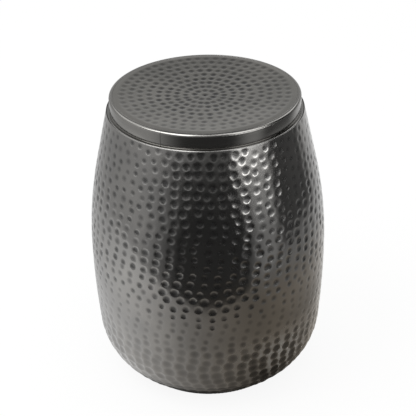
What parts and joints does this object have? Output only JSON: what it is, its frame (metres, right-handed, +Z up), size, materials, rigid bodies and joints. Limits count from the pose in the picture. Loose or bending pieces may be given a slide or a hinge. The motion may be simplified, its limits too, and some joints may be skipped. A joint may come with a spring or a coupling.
{
  "type": "drum side table",
  "caption": "Barrel-shaped hammered metal side table with a smooth banded lift-off lid over a hollow storage drum.",
  "frame": {"origin": "on the floor at the centre of the drum", "axes": "+Z up along the drum's axis of turning, -Y towards the viewer of the picture"},
  "size_m": [0.3598, 0.3598, 0.458],
  "materials": {
    "hammered_wall": "dark pewter plating over hammered sheet iron, satin",
    "hammered_lid": "dark pewter plating over hammered sheet iron, satin",
    "brushed_band": "dark pewter plating, brushed along the band",
    "inner_metal": "dark pewter plating, plain",
    "floor_rubber": "matte black rubber"
  },
  "bodies": {
    "drum": {"drum_wall": "hammered_wall", "base_disc": "inner_metal", "floor_ring": "floor_rubber", "neck_ring": "inner_metal"},
    "lid": {"lid_band": "brushed_band", "lid_plate": "hammered_lid"}
  },
  "joints": [
    {"name": "lid_lift", "type": "slide", "parent": "drum", "child": "lid", "axis": [0, 0, 1], "range_m": [0, 0.25]}
  ]
}
